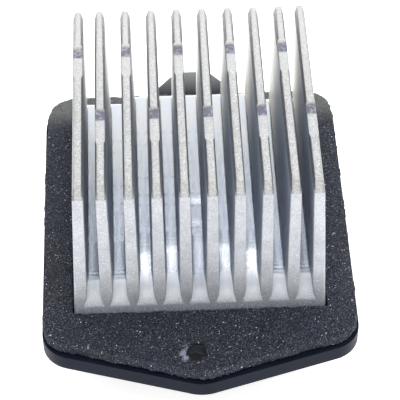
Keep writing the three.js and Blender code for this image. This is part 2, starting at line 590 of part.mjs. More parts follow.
// ---- parts soldered to the board ----------------------------------------------------------
function makeThermalFuse() {
  const { radius, half, bevel, lead, legRoot, legX } = FUSE;
  const axis = PEDESTAL_FACE - FUSE.drop;
  const capsule = new THREE.LatheGeometry([
    new THREE.Vector2(0, -half), new THREE.Vector2(radius - bevel, -half),
    new THREE.Vector2(radius, -half + bevel), new THREE.Vector2(radius, half - bevel),
    new THREE.Vector2(radius - bevel, half), new THREE.Vector2(0, half),
  ], 16).rotateZ(Math.PI / 2);
  const foot = BOARD_TOP + GAP - axis;
  const legs = [-1, 1].map((side) => sweepY(polygon([
    [legRoot * side, -lead / 2], [legX * side, -lead / 2], [legX * side, foot], [(legX + lead) * side, foot],
    [(legX + lead) * side, lead / 2], [legRoot * side, lead / 2],
  ]), -lead / 2, lead / 2));
  addPart('thermal_fuse', union([toSolid(capsule), ...legs]), tinnedMetal, [0, FUSE.y, axis]);
}

function makeShunt() {
  const { half, thickness, rise, flat, halfWidth } = SHUNT;
  const innerHalf = half - thickness;
  const innerRise = rise - thickness;
  const strap = new THREE.Shape();
  strap.moveTo(-half, 0);
  strap.lineTo(-innerHalf, 0);
  strap.quadraticCurveTo(-innerHalf, innerRise, -flat, innerRise);
  strap.lineTo(flat, innerRise);
  strap.quadraticCurveTo(innerHalf, innerRise, innerHalf, 0);
  strap.lineTo(half, 0);
  strap.quadraticCurveTo(half, rise, flat, rise);
  strap.lineTo(-flat, rise);
  strap.quadraticCurveTo(-half, rise, -half, 0);
  const shunt = sweepY(strap, -halfWidth, halfWidth);
  addPart('shunt_resistor', shunt, tinnedMetal, [SHUNT.x, SHUNT.y, BOARD_TOP + GAP]);
}

function makeControlChip() {
  const { halfLength, halfWidth, bottom, top } = CHIP;
  const body = block([-halfLength, halfLength], [-halfWidth, halfWidth], [bottom, top]);
  const legs = Array.from({ length: CHIP.legs }, (_, index) => {
    const x = (index - (CHIP.legs - 1) / 2) * CHIP.legPitch;
    return block([x - CHIP.legHalf, x + CHIP.legHalf], [-CHIP.legReach, CHIP.legReach], [0, CHIP.legHeight]);
  });
  addPart('control_chip', union([body, ...legs]), packageResin, [CHIP.x, CHIP.y, BOARD_TOP + GAP]);
}

function makeCapacitors() {
  const { radius, half, bevel, groove, grooveAt } = CAN;
  const can = new THREE.LatheGeometry([
    new THREE.Vector2(0, -half), new THREE.Vector2(radius - bevel, -half),
    new THREE.Vector2(radius, -half + bevel), new THREE.Vector2(radius, grooveAt - groove),
    new THREE.Vector2(radius - groove, grooveAt), new THREE.Vector2(radius, grooveAt + groove),
    new THREE.Vector2(radius, half - bevel), new THREE.Vector2(radius - bevel, half),
    new THREE.Vector2(0, half),
  ], 24).rotateZ(Math.PI / 2);
  addPart('electrolytic_capacitor', toSolid(can), capacitorSleeve, [CAN.x, CAN.y, BOARD_TOP + GAP + radius]);
  const { halfLength, halfWidth, corner, height } = FILM;
  const film = prism(roundedRectangle(-halfLength, halfLength, -halfWidth, halfWidth, corner), 0, height, 3);
  addPart('film_capacitor', film, filmResin, [FILM.x, FILM.y, BOARD_TOP + GAP]);
}

function makeChoke() {
  const { inner, outer, halfHeight, bevel } = CHOKE;
  const ring = new THREE.LatheGeometry([
    new THREE.Vector2(inner, -halfHeight + bevel), new THREE.Vector2(inner + bevel, -halfHeight),
    new THREE.Vector2(outer - bevel, -halfHeight), new THREE.Vector2(outer, -halfHeight + bevel),
    new THREE.Vector2(outer, halfHeight - bevel), new THREE.Vector2(outer - bevel, halfHeight),
    new THREE.Vector2(inner + bevel, halfHeight), new THREE.Vector2(inner, halfHeight - bevel),
    new THREE.Vector2(inner, -halfHeight + bevel),
  ], 28).rotateX(Math.PI / 2);
  addPart('choke', toSolid(ring), ferrite, [CHOKE.x, CHOKE.y, BOARD_TOP + GAP + halfHeight]);
}

function makeTerminals() {
  const { thickness, height, tip, bend, point } = BLADE;
  BLADES.forEach(({ x, width }, index) => {
    const blade = sweepX(polygon([
      [bend, LEAD_FOOT], [bend + thickness, LEAD_FOOT], [bend + thickness, height],
      [tip - point.length, height], [tip, height + point.bevel], [tip, height + thickness - point.bevel],
      [tip - point.length, height + thickness], [bend, height + thickness],
    ]), -width / 2, width / 2);
    addPart(`terminal_${index + 1}`, blade, tinnedMetal, [x, 0, 0]);
  });
}

makeHeatSink();
makeFoamGasket();
makeFlangeHousing();
makeRearCover();
makeCircuitBoard();
makeTransistors();
makeClamp();
makeScrews();
makeThermalFuse();
makeShunt();
makeControlChip();
makeCapacitors();
makeChoke();
makeTerminals();

const regulator = new THREE.Group();
regulator.add(...parts);

export default regulator;
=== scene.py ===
"""Blower speed regulator: cast aluminium heat sink, foam gasket, black plastic flange and housing.

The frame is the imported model's: +Z along the fins, +Y towards the hook tongue. Sizes and places are
named in millimetres and turned into metres with MM.
"""

import json
import math

import bmesh
import bpy
import numpy as np
from mathutils import Matrix, Vector, noise


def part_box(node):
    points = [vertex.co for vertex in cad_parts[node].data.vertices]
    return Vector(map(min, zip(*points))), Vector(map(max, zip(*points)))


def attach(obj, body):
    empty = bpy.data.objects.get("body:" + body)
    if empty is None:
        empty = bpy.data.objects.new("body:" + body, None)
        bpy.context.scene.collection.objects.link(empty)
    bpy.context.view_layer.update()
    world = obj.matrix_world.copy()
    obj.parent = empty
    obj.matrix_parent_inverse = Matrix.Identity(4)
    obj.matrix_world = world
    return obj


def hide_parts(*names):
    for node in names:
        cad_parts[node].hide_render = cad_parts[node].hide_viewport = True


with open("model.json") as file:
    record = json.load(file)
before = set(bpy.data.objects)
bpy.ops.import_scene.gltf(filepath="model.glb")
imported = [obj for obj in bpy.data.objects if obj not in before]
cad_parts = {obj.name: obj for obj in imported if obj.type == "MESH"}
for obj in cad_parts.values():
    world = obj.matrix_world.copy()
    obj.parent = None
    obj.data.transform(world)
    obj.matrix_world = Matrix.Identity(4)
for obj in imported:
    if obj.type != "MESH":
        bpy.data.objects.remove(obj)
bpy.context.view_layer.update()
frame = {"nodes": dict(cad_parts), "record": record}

MM = 0.001
PER_MM = 1 / MM  # texture scales count features per millimetre
ROOT = "root"

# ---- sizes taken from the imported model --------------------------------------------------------
SINK_LOW, SINK_HIGH = (np.array(corner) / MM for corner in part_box("heat_sink"))
SEAL_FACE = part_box("foam_gasket")[1][2] / MM
FIN_HEIGHT = SINK_HIGH[2] - SEAL_FACE
FOOT_HALF_LENGTH = SINK_HIGH[1]
FIXING_HOLE = (-1.4, -47.4)  # as in the part's source: the frame doesn't tell it


# ---- node kit ---------------------------------------------------------------------------------
class Net:
    """Short calls for building the node tree of a material or of the sky."""

    def __init__(self, owner, coordinates="Object"):
        self.owner = owner
        owner.use_nodes = True
        self.tree = owner.node_tree
        self.shader = self.tree.nodes.get("Principled BSDF")
        self.place = self.add("ShaderNodeTexCoord").outputs[coordinates]

    def add(self, kind, **settings):
        node = self.tree.nodes.new(kind)
        for key, value in settings.items():
            setattr(node, key, value)
        return node

    def put(self, socket, value):
        if isinstance(value, bpy.types.NodeSocket):
            self.tree.links.new(value, socket)
        elif isinstance(value, tuple) and len(value) == 3 and socket.type == "RGBA":
            socket.default_value = (*value, 1)
        else:
            socket.default_value = value

    def noise(self, scale, detail=3, roughness=0.55, stretch=None):
        node = self.add("ShaderNodeTexNoise")
        vector = self.place if stretch is None else self.stretched(stretch)
        self.put(node.inputs["Vector"], vector)
        self.put(node.inputs["Scale"], scale)
        self.put(node.inputs["Detail"], detail)
        self.put(node.inputs["Roughness"], roughness)
        return node.outputs["Fac"]

    def cells(self, scale):
        """Distance to the middle of the nearest cell."""
        node = self.add("ShaderNodeTexVoronoi")
        self.put(node.inputs["Vector"], self.place)
        self.put(node.inputs["Scale"], scale)
        return node.outputs["Distance"]

    def stretched(self, scale):
        node = self.add("ShaderNodeVectorMath", operation="MULTIPLY")
        self.put(node.inputs[0], self.place)
        self.put(node.inputs[1], scale)
        return node.outputs[0]

    def ramp(self, value, low, high, to_low=0.0, to_high=1.0, soft=False):
        """Goes from to_low to to_high while the value goes from low to high."""
        node = self.add("ShaderNodeMapRange", interpolation_type="SMOOTHSTEP" if soft else "LINEAR")
        keys = ("Value", "From Min", "From Max", "To Min", "To Max")
        for key, number in zip(keys, (value, low, high, to_low, to_high)):
            self.put(node.inputs[key], number)
        return node.outputs["Result"]

    def axis(self, name):
        node = self.add("ShaderNodeSeparateXYZ")
        self.put(node.inputs[0], self.place)
        return node.outputs[name]

    def along(self, name, span, to_low=0.0, to_high=1.0):
        """A ramp between two places on an axis, in millimetres."""
        low, high = span
        return self.ramp(self.axis(name), low * MM, high * MM, to_low, to_high)

    def math(self, operation, first, second=0.0):
        node = self.add("ShaderNodeMath", operation=operation)
        self.put(node.inputs[0], first)
        self.put(node.inputs[1], second)
        return node.outputs[0]

    def times(self, first, second):
        return self.math("MULTIPLY", first, second)

    def mix(self, factor, first, second):
        """The second colour where the factor is 1."""
        node = self.add("ShaderNodeMix", data_type="RGBA")
        self.put(node.inputs[0], factor)
        self.put(node.inputs[6], first)
        self.put(node.inputs[7], second)
        return node.outputs[2]

    def bump(self, height, strength, distance_mm, normal=None):
        """Strength may be a number or a socket."""
        node = self.add("ShaderNodeBump")
        self.put(node.inputs["Strength"], strength)
        self.put(node.inputs["Distance"], distance_mm * MM)
        self.put(node.inputs["Height"], height)
        if normal is not None:
            self.put(node.inputs["Normal"], normal)
        return node.outputs["Normal"]

    def attribute(self, name):
        return self.add("ShaderNodeAttribute", attribute_name=name).outputs["Fac"]

    def finish(self, **sockets):
        """Fills the shader's sockets, whose names are written with _ for each space."""
        for key, value in sockets.items():
            self.put(self.shader.inputs[key.replace("_", " ")], value)
        return self.owner


def new_material(name):
    return Net(bpy.data.materials.new(name))


# ---- camera -----------------------------------------------------------------------------------
# Fitted to corners of the real object: angles in degrees, the rest in millimetres.
CAMERA_ELEVATION = 47.36
CAMERA_YAW = -1.96
CAMERA_ROLL = -0.49
CAMERA_DISTANCE = 489.2
CAMERA_AIM = (1.39, 1.17, 29.22)
FOCAL_LENGTH = 170.6
SENSOR_WIDTH = 36
CLIP_START = 10


def make_camera():
    data = bpy.data.cameras.new("camera")
    data.lens = FOCAL_LENGTH
    data.sensor_width = SENSOR_WIDTH
    data.clip_start = CLIP_START * MM
    camera = bpy.data.objects.new("camera", data)
    turn = Matrix.Rotation(math.radians(CAMERA_YAW), 4, "Z")
    turn @= Matrix.Rotation(math.radians(90 - CAMERA_ELEVATION), 4, "X")
    turn @= Matrix.Rotation(math.radians(CAMERA_ROLL), 4, "Z")
    back = turn @ Vector((0, 0, CAMERA_DISTANCE * MM))
    camera.matrix_world = Matrix.Translation(Vector(CAMERA_AIM) * MM + back) @ turn
    bpy.context.collection.objects.link(camera)
    bpy.context.scene.camera = camera


# ---- studio -----------------------------------------------------------------------------------
TENT_FRONT = 0.72
TENT_BACK = 1.7
TENT_TOP = 0.5
TENT_LEFT = 0.15
TENT_RIGHT = 0.8
TENT_WARM = (1.0, 0.99, 0.975)
TENT_COOL = (0.93, 0.96, 1.0)
# Where the tent changes, as parts of a direction of length 1.
FRONT_TO_BACK = (-0.75, 0.35)
WALLS_TO_TOP = (0.70, 0.98)
LEFT_TO_MIDDLE = (-0.80, -0.32)
MIDDLE_TO_RIGHT = (0.32, 0.80)
WARM_TO_COOL = (-0.5, 0.6)

FLOOR_SIZE = 6000
FLOOR_GAP = 0.2
FLOOR_COLOUR = (0.9, 0.9, 0.9)
FLOOR_GLOW = 0.75

KEY_PLACE = (-60, -260, 600)
KEY_AIM = (0, 0, 40)
KEY_SIZE = 460
KEY_POWER = 1.1
KEY_COLOUR = (1.0, 0.99, 0.97)


def make_key_light():
    """One large soft light above the near end."""
    data = bpy.data.lights.new("key", "AREA")
    data.shape = "SQUARE"
    data.size = KEY_SIZE * MM
    data.energy = KEY_POWER
    data.color = KEY_COLOUR
    lamp = bpy.data.objects.new("key", data)
    place, aim = Vector(KEY_PLACE) * MM, Vector(KEY_AIM) * MM
    turn = (place - aim).to_track_quat("Z", "Y").to_matrix().to_4x4()
    lamp.matrix_world = Matrix.Translation(place) @ turn
    bpy.context.collection.objects.link(lamp)


def make_sky():
    """A pale tent: brightest overhead, fainter in front, dark on the left and dimmer on the right."""
    world = bpy.data.worlds.new("studio")
    net = Net(world, "Generated")
    forward = net.ramp(net.axis("Y"), *FRONT_TO_BACK, TENT_FRONT, TENT_BACK, soft=True)
    overhead = net.ramp(net.axis("Z"), *WALLS_TO_TOP, 0.0, TENT_TOP, soft=True)
    left = net.ramp(net.axis("X"), *LEFT_TO_MIDDLE, TENT_LEFT, 1.0, soft=True)
    right = net.ramp(net.axis("X"), *MIDDLE_TO_RIGHT, 1.0, TENT_RIGHT, soft=True)
    cool = net.ramp(net.axis("Y"), *WARM_TO_COOL, soft=True)
    sky = net.tree.nodes["Background"]
    net.put(sky.inputs["Color"], net.mix(cool, TENT_WARM, TENT_COOL))
    strength = net.times(net.math("ADD", forward, overhead), net.times(left, right))
    net.put(sky.inputs["Strength"], strength)
    bpy.context.scene.world = world


def make_floor():
    """A pale floor that can be seen from above only, so that the underside can be looked at."""
    bpy.ops.mesh.primitive_plane_add(size=FLOOR_SIZE * MM)
    floor = bpy.context.object
    floor.name = "floor"
    floor.location.z = -FLOOR_GAP * MM
    net = new_material("pale_floor")
    clear = net.add("ShaderNodeBsdfTransparent")
    one_sided = net.add("ShaderNodeMixShader")
    net.put(one_sided.inputs[0], net.add("ShaderNodeNewGeometry").outputs["Backfacing"])
    net.put(one_sided.inputs[1], net.shader.outputs[0])
    net.put(one_sided.inputs[2], clear.outputs[0])
    net.put(net.tree.nodes["Material Output"].inputs["Surface"], one_sided.outputs[0])
    net.put(net.shader.inputs["Emission Color"], (1, 1, 1))
    net.put(net.shader.inputs["Emission Strength"], FLOOR_GLOW)
    floor.data.materials.append(net.finish(Base_Color=FLOOR_COLOUR, Roughness=0.9))


def make_studio():
    bpy.context.scene.view_settings.view_transform = "Standard"
    make_sky()
    make_floor()
    make_key_light()


make_camera()
make_studio()


# ---- the casting's material -------------------------------------------------------------------
# Heights and distances along +Y between which the casting's looks change.
FOOT_BAND = (SEAL_FACE + 0.4, SEAL_FACE + 3.6)
TOP_BAND = (SEAL_FACE + 37, SEAL_FACE + 39.5)
TOPS_FADE = (-5, 22)
WALLS_FADE = (0, 24)
TROUGHS_FADE = (-12, 28)

METAL_DULL, METAL_BRIGHT = (0.485, 0.50, 0.53), (0.585, 0.60, 0.63)
# Painted shade of the foam on the casting's foot, tinted blue.
FOOT_SHADE = (0.45, 0.52, 0.63)
# Painted light: the fins' tops are lighter towards the far end.
TOPS_NEAR, TOPS_FAR = (0.53, 0.515, 0.48), (0.60, 0.585, 0.55)
# Painted light and shade on the fins' sides: darker and bluish near, pale and warm far.
WALLS_NEAR, WALLS_FAR = (0.60, 0.65, 0.74), (0.92, 0.905, 0.87)
# Painted light on the trough floors, brightest on the near ramps.
TROUGHS_NEAR, TROUGHS_FAR = (0.80, 0.83, 0.885), (0.58, 0.58, 0.57)
PITS, WALL_PITS = (0.28, 0.29, 0.32), (0.45, 0.50, 0.58)
GLINTS = (0.88, 0.88, 0.88)
STREAKS = (0.52, 0.58, 0.70)
# Painted shade along the edges of the lands; the far part of each ejector pad is darker.
EDGE_SHADE, PAD_DARK = (0.17, 0.165, 0.155), (0.15, 0.14, 0.20)


def cast_aluminium():
    """Blasted and grainy on tops and ends.

    The mesh says where it differs: "polish" is 1 on smooth trough floors, where it also paints
    light into their colour, "side" is 1 on the fins' sides, and "darkened" is 1 on the darker far part
    of each ejector pad and less along the edges of the lands, where it is painted shade.
    """
    net = new_material("cast_aluminium")
    polish, on_wall, scorched = net.attribute("polish"), net.attribute("side"), net.attribute("scorched")
    far = net.along("Y", TOPS_FADE)
    top = net.along("Z", TOP_BAND)
    low = net.along("Z", FOOT_BAND, 1.0, 0.0)
    far_top = net.times(top, far)
    grain = net.noise(3.0 * PER_MM, 3, 0.8)
    blotch = net.noise(0.22 * PER_MM, 3, 0.6)
    streak = net.noise(1.0 * PER_MM, 3, 0.6, stretch=(1.0, 0.1, 0.1))
    patches = net.noise(0.9 * PER_MM, 3, 0.7)

    base = net.mix(net.ramp(blotch, 0.35, 0.65), METAL_DULL, METAL_BRIGHT)
    # Painted shade of the foam: the foot turns bluer and a little darker towards the seal face.
    base = net.mix(net.times(low, 0.8), base, FOOT_SHADE)
    # Painted light on the tops, lighter towards the far end.
    base = net.mix(net.times(top, 0.8), base, net.mix(far, TOPS_NEAR, TOPS_FAR))

    rough_skin = net.ramp(net.math("MAXIMUM", polish, on_wall), 0.0, 0.6, 1.0, 0.15)
    grainy = net.math("MAXIMUM", low, net.times(top, net.ramp(far, 0.0, 1.0, 0.55, 0.0)))
    specks = net.times(net.ramp(grain, 0.50, 0.60), rough_skin)
    base = net.mix(net.times(specks, net.ramp(grainy, 0.0, 1.0, 0.30, 0.95)), base, PITS)
    glints = net.times(net.ramp(grain, 0.36, 0.44, 1.0, 0.0), rough_skin)
    base = net.mix(net.times(glints, net.ramp(far_top, 0.0, 1.0, 0.7, 0.35)), base, GLINTS)

    # Painted light and shade on the fins' sides: darker and bluish near, pale and warm far.
    wall = net.mix(net.along("Y", WALLS_FADE), WALLS_NEAR, WALLS_FAR)
    wall = net.mix(net.times(net.ramp(grain, 0.50, 0.62), low), wall, WALL_PITS)
    base = net.mix(on_wall, base, wall)
    # Painted light on the smooth trough floors, brightest on the near ramps.
    trough = net.mix(net.along("Y", TROUGHS_FADE), TROUGHS_NEAR, TROUGHS_FAR)
    base = net.mix(net.ramp(polish, 0.0, 0.9), base, trough)
    streaked = net.times(net.ramp(streak, 0.46, 0.62), net.ramp(polish, 0.0, 1.0, 0.1, 0.5))
    base = net.mix(streaked, base, STREAKS)
    # Painted shade along the edges of the lands, and the darker far part of each ejector pad.
    dark_share = net.times(scorched, net.ramp(patches, 0.38, 0.52, 0.45, 0.92))
    base = net.mix(dark_share, base, net.mix(net.ramp(scorched, 0.8, 1.0), EDGE_SHADE, PAD_DARK))

    rough = net.ramp(polish, 0.5, 1.0, 0.55, 0.22)
    rough = net.math("ADD", rough, net.times(on_wall, -0.12))
    rough = net.math("ADD", rough, net.ramp(grain, 0.3, 0.7, -0.05, 0.07))
    depth = net.times(net.ramp(polish, 0.0, 0.6, 0.9, 0.25), net.ramp(far_top, 0.0, 1.0, 1.0, 0.45))
    normal = net.bump(grain, depth, 0.12)
    normal = net.bump(streak, 0.2, 0.08, normal)
    metallic = net.math("SUBTRACT", net.ramp(low, 0.0, 0.8, 0.85, 0.5), net.times(on_wall, 0.05))
    return net.finish(Base_Color=base, Metallic=metallic, Roughness=rough, Normal=normal)


# ---- the foam's material ----------------------------------------------------------------------
# Lighter strips along both sides, by distance from the middle and by distance along +Y.
SIDE_STRIP = (32, 36)
SIDE_STRIP_START = (-40, -30)
# The far strip is painted glare.
FAR_GLARE_STRIP = (28, 36)

FOAM_DARK, FOAM_LIGHT = (0.005, 0.009, 0.028), (0.013, 0.019, 0.048)
FOAM_LIGHTER_SIDES = (0.10, 0.10, 0.105)
FOAM_HOLLOWS = (0.004, 0.005, 0.009)
FOAM_THREADS = (0.15, 0.165, 0.215)
# Painted sparkle highlights on the foam.
FOAM_SPARKLE = (0.70, 0.72, 0.76)
FOAM_TORN = (0.42, 0.43, 0.55)
FOAM_FAR_GLARE = (0.17, 0.175, 0.165)


def open_cell_foam():
    """Dark foam with painted sparkle highlights in its cells; whitish where "torn" is 1."""
    net = new_material("open_cell_foam")
    cell = net.cells(2.1 * PER_MM)
    fine = net.noise(3.0 * PER_MM, 2, 0.8)
    tone = net.noise(0.10 * PER_MM, 2, 0.5)
    sparkle = net.noise(2.2 * PER_MM, 1)
    sparkle_patches = net.noise(0.5 * PER_MM, 2)

    base = net.mix(net.ramp(tone, 0.35, 0.65), FOAM_DARK, FOAM_LIGHT)
    low, high = SIDE_STRIP
    beside = net.ramp(net.math("ABSOLUTE", net.axis("X")), low * MM, high * MM)
    # The foam's sides are lighter.
    base = net.mix(net.times(beside, net.along("Y", SIDE_STRIP_START, 0.0, 0.4)), base, FOAM_LIGHTER_SIDES)
    base = net.mix(net.ramp(cell, 0.25, 0.5, 0.0, 0.8), base, FOAM_HOLLOWS)
    base = net.mix(net.ramp(fine, 0.53, 0.64, 0.0, 0.85), base, FOAM_THREADS)
    # Painted sparkle highlights, in patches.
    base = net.mix(net.times(net.ramp(sparkle, 0.685, 0.72), net.ramp(sparkle_patches, 0.45, 0.54)), base, FOAM_SPARKLE)
    torn = net.times(net.attribute("torn"), net.ramp(fine, 0.40, 0.55, 0.35, 1.0))
    base = net.mix(torn, base, FOAM_TORN)
    # Painted glare greying the foam's far strip.
    base = net.mix(net.math("POWER", net.along("Y", FAR_GLARE_STRIP), 1.6), base, FOAM_FAR_GLARE)
    normal = net.bump(cell, 1.0, 0.5)
    normal = net.bump(fine, 0.8, 0.3, normal)
    return net.finish(Base_Color=base, Roughness=0.85, Normal=normal)


# ---- plastics and plated metals ---------------------------------------------------------------
def plastic_skin(net, colour, worn, roughness):
    """Colour, roughness and normal of a moulded surface with a fine texture and a faint haze."""
    texture = net.noise(1.6 * PER_MM, 3, 0.6)
    haze = net.noise(0.12 * PER_MM, 3, 0.6)
    base = net.mix(net.ramp(haze, 0.35, 0.7), colour, worn)
    rough = net.ramp(haze, 0.3, 0.7, roughness - 0.05, roughness + 0.09)
    return base, rough, net.bump(texture, 0.2, 0.04)


def moulded_plastic(name, colour, worn, roughness):
    net = new_material(name)
    base, rough, normal = plastic_skin(net, colour, worn, roughness)
    return net.finish(Base_Color=base, Roughness=rough, Normal=normal)


def plated_metal(name, colour, dull, roughness):
    net = new_material(name)
    brush = net.noise(1.2 * PER_MM, 3, 0.6, stretch=(0.2, 1.0, 1.0))
    patch = net.noise(0.3 * PER_MM, 3, 0.6)
    base = net.mix(net.ramp(patch, 0.35, 0.7), colour, dull)
    rough = net.ramp(brush, 0.3, 0.7, roughness - 0.07, roughness + 0.1)
    normal = net.bump(brush, 0.15, 0.03)
    return net.finish(Base_Color=base, Metallic=1.0, Roughness=rough, Normal=normal)


FLANGE_BLACK, FLANGE_WORN = (0.006, 0.009, 0.018), (0.010, 0.013, 0.025)
TONGUE_BAND = (20.5, 21.0)  # ends at the tongue's underside
TONGUE_FADE = (44.5, 54)
# Painted glare on the tongue's tip.
TONGUE_GLARE = (0.23, 0.235, 0.225)
BORE_EDGE = (2.7, 3.3)  # distance from the hole's axis
BORE_HIGHLIGHT_BAND, BORE_RIM_BAND = (24.3, 24.6), (24.8, 25.2)
BORE_WOBBLE = 0.5
# Painted shadow deep in the fixing hole, a painted highlight line, and painted light on the upper wall.
BORE_SHADOW, BORE_HIGHLIGHT, BORE_RIM = (0.001, 0.002, 0.003), (0.05, 0.07, 0.085), (0.034, 0.050, 0.062)


def flange_plastic():
    """Black, with painted glare greying the tip of the tongue, and painted shade and highlights inside
    the fixing hole.
    """
    net = new_material("black_plastic")
    base, rough, normal = plastic_skin(net, FLANGE_BLACK, FLANGE_WORN, 0.38)
    # Painted glare greys the tip of the tongue.
    tip = net.times(net.along("Z", TONGUE_BAND), net.along("Y", TONGUE_FADE))
    base = net.mix(net.math("POWER", tip, 1.2), base, TONGUE_GLARE)

    across = net.math("SUBTRACT", net.axis("X"), FIXING_HOLE[0] * MM)
    along = net.math("SUBTRACT", net.axis("Y"), FIXING_HOLE[1] * MM)
    reach = net.math("SQRT", net.math("ADD", net.times(across, across), net.times(along, along)))
    wobble = net.ramp(net.noise(0.5 * PER_MM, 1), 0.3, 0.7, -BORE_WOBBLE * MM, BORE_WOBBLE * MM)
    height = net.math("ADD", net.axis("Z"), wobble)
    # Inside the fixing hole: painted shadow deep down, a painted highlight line, then painted light on
    # the upper wall.
    bore = BORE_SHADOW
    for (low, high), colour in ((BORE_HIGHLIGHT_BAND, BORE_HIGHLIGHT), (BORE_RIM_BAND, BORE_RIM)):
        bore = net.mix(net.ramp(height, low * MM, high * MM), bore, colour)
    low, high = BORE_EDGE
    base = net.mix(net.ramp(reach, low * MM, high * MM, 1.0, 0.0), base, bore)
    return net.finish(Base_Color=base, Roughness=rough, Specular_IOR_Level=0.07, Normal=normal)


# Colour, worn or dull colour, and roughness.
PLASTICS = {
    "board_laminate": ((0.02, 0.10, 0.05), (0.03, 0.14, 0.07), 0.4),
    "package_resin": ((0.015, 0.015, 0.016), (0.03, 0.03, 0.03), 0.55),
    "insulator_sheet": ((0.42, 0.40, 0.35), (0.5, 0.48, 0.42), 0.7),
    "capacitor_sleeve": ((0.01, 0.012, 0.03), (0.02, 0.025, 0.05), 0.3),
    "film_resin": ((0.25, 0.03, 0.015), (0.32, 0.05, 0.03), 0.35),
    "ferrite": ((0.03, 0.03, 0.032), (0.06, 0.06, 0.062), 0.5),
}
METALS = {
    "tinned_metal": ((0.66, 0.67, 0.68), (0.52, 0.52, 0.53), 0.3),
    "steel": ((0.60, 0.61, 0.64), (0.45, 0.46, 0.49), 0.32),
}
MATERIALS = {
    "cast_aluminium": cast_aluminium(),
    "open_cell_foam": open_cell_foam(),
    "black_plastic": flange_plastic(),
    **{name: moulded_plastic(name, *look) for name, look in PLASTICS.items()},
    **{name: plated_metal(name, *look) for name, look in METALS.items()},
}


def new_piece(name, mesh, slot, replaced):
    piece = bpy.data.objects.new(name, mesh)
    bpy.context.collection.objects.link(piece)
    mesh.materials.append(MATERIALS[slot])
    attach(piece, ROOT)
    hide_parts(replaced)
    return piece


def mark_points(mesh, name, values):
    """Stores one number per point for the materials to read."""
    mesh.attributes.new(name, "FLOAT", "POINT").data.foreach_set("value", values.astype(np.float32))


# ---- heat sink --------------------------------------------------------------------------------
# Casting coordinates: millimetres, z = 0 at the seal face. The sizes are those of the part's source.
FIN_COUNT = 10
FIN_PITCH = 6.5
SHOULDER = 37.5  # height up to which a fin's sides are drafted; its top slopes in from there
END_SLOPE = 0.075
ROOT_HALF = 1.64
BODY_HALF = 1.3
FIN_LEAN = 1.15
CHAMFER = 3.0
EDGE_ROUND = 0.3
CORNER_ROUND = 0.7
CASTING_BOTTOM = -6.0

NOSE_TOP = 8.0  # below this height the near end of a fin narrows to a rounded nose
NOSE_DEPTH = 6.4
NOSE_REACH = 5.5
NOSE_LIMIT = 0.999  # below 1, so that the foot of a nose keeps a little width

FAR_TIP_EXTRA = 0.4  # how far the far ends of the fins reach past the drafted end at the top
FAR_TIP_FADE = (20, 31)
FAR_TIP_FOOT = 20
FAR_TIP_ROUND = 0.8

# The narrow flat land on a fin's top, and the one wider ejector pad in it.
LAND_HALF = 0.80
LAND_TAPER = 0.2  # how much narrower the land is at the far end, on each side
LAND_TAPER_FADE = (6, 31)
LAND_BELOW_PAD = 0.22
LAND_CROWN = 0.02
LAND_ROUND = 0.08
LAND_INSET = 0.12
SHOULDER_RISE = 0.06
PAD_HALF = 1.14
PAD_ROUND = 0.06
PAD_EDGE_DROP = 0.35
PAD_STEP = 0.2
PAD_SINK = 0.45
# The near part of each pad is a little smoother and painted a little lighter.
PAD_POLISH_AND_SHEEN = 0.05
ODD_PAD = (7.5, 14.0, 18.5)  # near end, start of the sunken, darker part, far end
EVEN_PAD = (-14.7, -7.8, -4.0)
DARK_PART_START = (-0.1, 0.3)
DARK_PART_END = (-0.4, -0.1)
# A side of the top, from the shoulder to the edge of the land: shares of its width and height.
CROWN_SHARES = ((0.0, 0.0), (0.08, 0.12), (0.88, 0.84), (1.0, 1.0))
SHOULDER_SHADE = (0.30, 0.70, 0.75, 0.55, 0.05)  # painted shade on these points and on the land's edge

CENTRE_TROUGH = 4
OUTER_FLOOR = 6.5
CENTRE_FLOOR = 9.3
FILLET = 0.45
EXIT_FILLET = 0.2  # the share of the fillet that is left at the exits
FILLET_FADE = (-31, -27)
RAMP_EXIT = 4.3
RAMP_STARTS = {0: -18.3, 1: -20.2, 2: -22.1}  # by distance from the centre trough
OUTER_RAMP_START = -28.3
RAMP_ROUND = 1.6
RAMP_BULGE = 0.12
EXIT_LENGTH = 6.5
EXIT_DROP = 2.6
FAR_ROUND = 3.0
EXIT_DULL = 0.42  # polish and painted sheen between the blasted exit and the smooth ramp
EXIT_DULL_FADE = (-33.9, -31.0)
EXIT_SHINE_FADE = (-31.5, -26)
# Tool ridges across the top of each ramp.
RIDGE = 0.08
RIDGE_SPACING = 1.3
RIDGE_START = 0.5
RIDGE_END = (2.2, 2.8)
# The centre trough steps down towards the near end: where each step starts and ends, and its drop.
TERRACES = ((-14.0, -11.9, 0.60), (-7.2, -5.2, 0.85), (1.6, 2.3, -0.12))

# Where the mesh has its points: heights up the outer faces, shares up the sides inside the troughs,
# and distances along the casting.
OUTER_HEIGHTS = (CASTING_BOTTOM, 0.0, 2.0, 5.0, 9.0, 16.0, 23.0, 30.0, SHOULDER)
OUTER_CORNER_FADE = (2, 20)
SIDE_SHARES = (0.05, 0.11, 0.18, 0.27, 0.4, 0.6, 0.8, 1.0)
FILLET_POINTS = 4
COARSE_SPAN = (-28, 29)
COARSE_STEP = 0.8
FINE_STEP = 0.3
NEAR_END_MARGIN = 0.5
NEAR_FINE_TO = -17
FAR_FINE_FROM = 28.5
END_INSETS = (0.03, 0.08, 0.14, 0.21, 0.3, 0.4)
TERRACE_POINTS = 6
CHAMFER_TURN = 0.15
LAST_STATION = 0.9996


def smooth(value, low, high):
    share = np.clip((value - low) / (high - low), 0, 1)
    return share * share * (3 - 2 * share)


def round_over(distance, radius):
    """How far a rounded edge falls back, at this distance from the edge."""
    return radius * (1 - np.sqrt(1 - np.clip(1 - distance / radius, 0, 1) ** 2))


def half_length(z):
    return FOOT_HALF_LENGTH - END_SLOPE * np.asarray(z, float)


